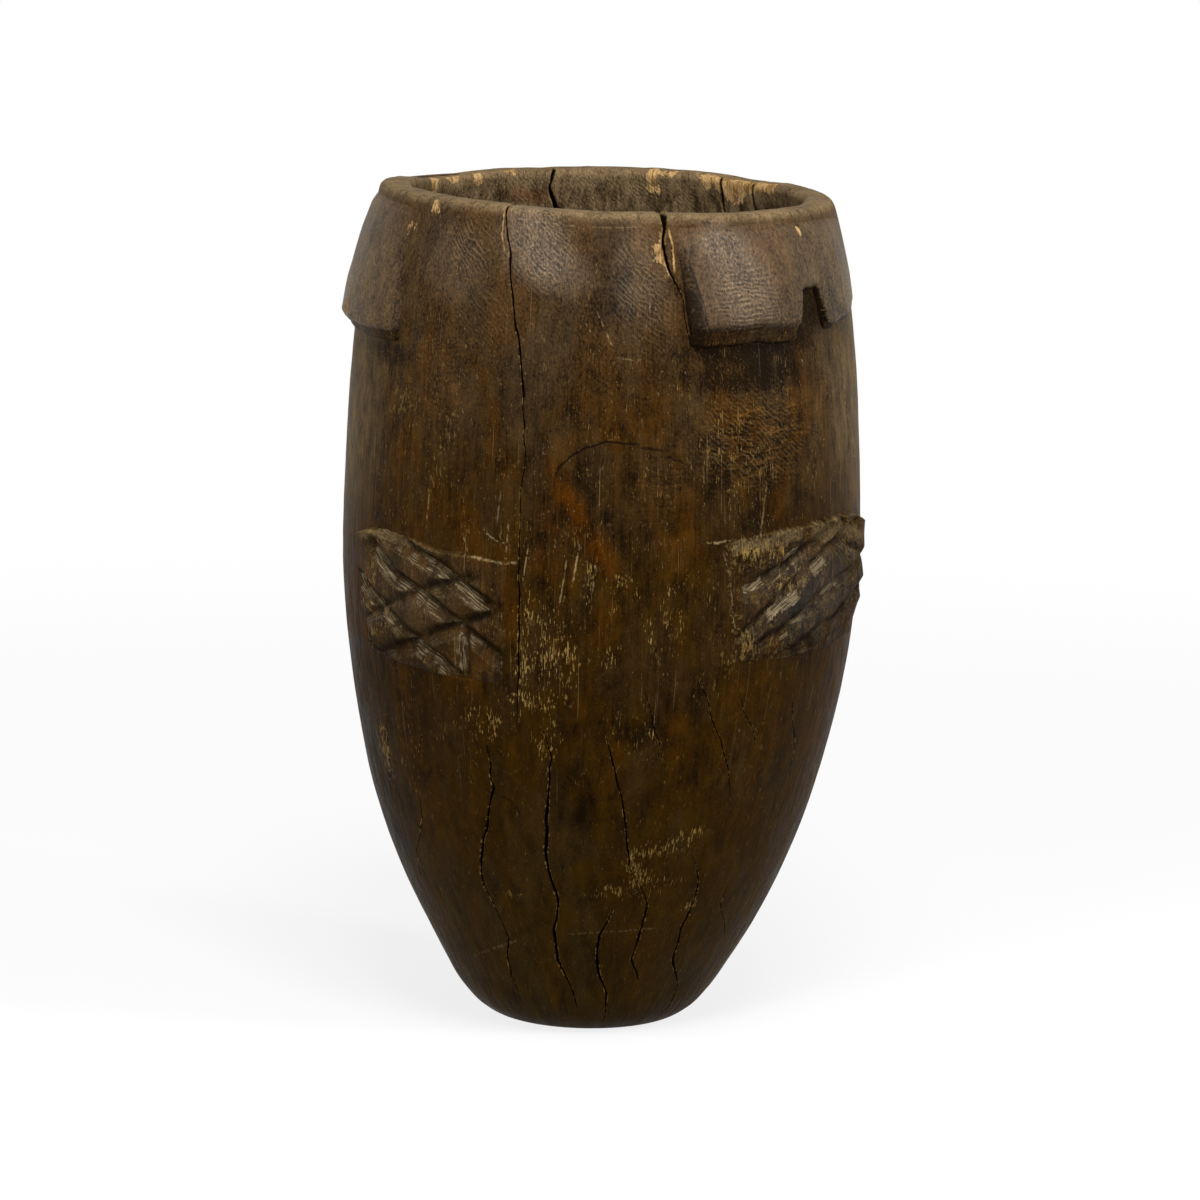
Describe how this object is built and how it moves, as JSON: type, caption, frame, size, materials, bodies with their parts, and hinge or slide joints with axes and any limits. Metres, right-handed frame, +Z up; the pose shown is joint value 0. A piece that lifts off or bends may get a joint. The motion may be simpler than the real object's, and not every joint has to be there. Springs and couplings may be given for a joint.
{
  "type": "carved milk pail",
  "caption": "Deep barrel-shaped wooden pail carved from one log, with a flared lug under the rim on each side and hatched grip panels round the belly.",
  "frame": {"origin": "middle of the flat foot that the pail stands on", "axes": "+Z up along the barrel's axis to the mouth, -Y to the side that the picture shows, +X to the right of that side"},
  "size_m": [0.2736, 0.27, 0.4363],
  "materials": {
    "carved_wood": "dark oiled hardwood with a worn satin patina"
  },
  "bodies": {
    "root": {"pail_bottom": "carved_wood", "pail_lower_wall": "carved_wood", "pail_belly_wall": "carved_wood", "pail_rim_wall": "carved_wood", "right_rim_lug": "carved_wood", "left_rim_lug": "carved_wood", "front_left_grip_panel": "carved_wood", "front_right_grip_panel": "carved_wood", "back_right_grip_panel": "carved_wood", "back_left_grip_panel": "carved_wood"}
  },
  "joints": []
}
